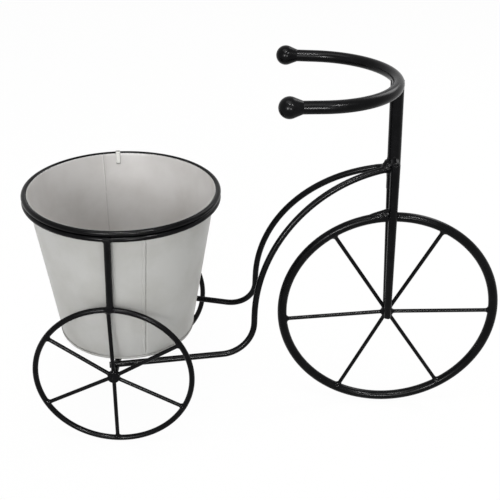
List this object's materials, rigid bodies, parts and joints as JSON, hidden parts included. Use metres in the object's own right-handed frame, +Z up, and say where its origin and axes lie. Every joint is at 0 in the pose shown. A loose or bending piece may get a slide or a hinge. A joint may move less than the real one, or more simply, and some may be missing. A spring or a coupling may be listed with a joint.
{
  "type": "bicycle planter",
  "caption": "Tricycle-shaped plant stand of welded black rod with a bowed handlebar and a tapered sheet-metal pot that lifts out of a ring over the back axle.",
  "frame": {"origin": "on the ground, under the middle of the planter's overall length and width", "axes": "+X from the pot towards the front wheel, +Y to the planter's left, +Z up"},
  "size_m": [0.5278, 0.2138, 0.4037],
  "materials": {
    "black_paint": "gloss black paint on steel",
    "pale_sheet": "semi-gloss off-white paint on sheet steel",
    "bare_steel": "satin"
  },
  "bodies": {
    "stand": {"front_rim": "black_paint", "front_hub": "black_paint", "rear_left_rim": "black_paint", "rear_left_hub": "black_paint", "rear_right_rim": "black_paint", "rear_right_hub": "black_paint", "front_spoke_1": "black_paint", "front_spoke_2": "black_paint", "front_spoke_3": "black_paint", "front_spoke_4": "black_paint", "front_spoke_5": "black_paint", "front_spoke_6": "black_paint", "rear_left_spoke_1": "black_paint", "rear_left_spoke_2": "black_paint", "rear_left_spoke_3": "black_paint", "rear_left_spoke_4": "black_paint", "rear_left_spoke_5": "black_paint", "rear_left_spoke_6": "black_paint", "rear_right_spoke_1": "black_paint", "rear_right_spoke_2": "black_paint", "rear_right_spoke_3": "black_paint", "rear_right_spoke_4": "black_paint", "rear_right_spoke_5": "black_paint", "rear_right_spoke_6": "black_paint", "fork_leg_left": "black_paint", "fork_leg_right": "black_paint", "rail_left": "black_paint", "rail_right": "black_paint", "head_post": "black_paint", "handlebar": "black_paint", "ball_end_left": "black_paint", "ball_end_right": "black_paint", "back_axle": "black_paint", "pot_ring": "black_paint", "upright_left": "black_paint", "upright_right": "black_paint", "front_spoke_welds": "black_paint", "rear_left_spoke_welds": "black_paint", "rear_right_spoke_welds": "black_paint", "rail_head_weld": "black_paint", "handlebar_weld": "black_paint", "fork_lap_welds": "black_paint", "fork_rim_weld": "black_paint", "fork_hub_welds": "black_paint", "axle_rail_welds": "black_paint", "axle_hub_welds": "black_paint", "upright_foot_welds": "black_paint", "upright_head_welds": "black_paint"},
    "pot": {"pot_wall_front": "pale_sheet", "pot_wall_back": "pale_sheet", "pot_base": "pale_sheet", "pot_rim_bead": "black_paint", "rim_clip": "bare_steel"}
  },
  "joints": [
    {"name": "pot_lift", "type": "slide", "parent": "stand", "child": "pot", "axis": [0, 0, 1], "range_m": [0, 0.18]}
  ]
}
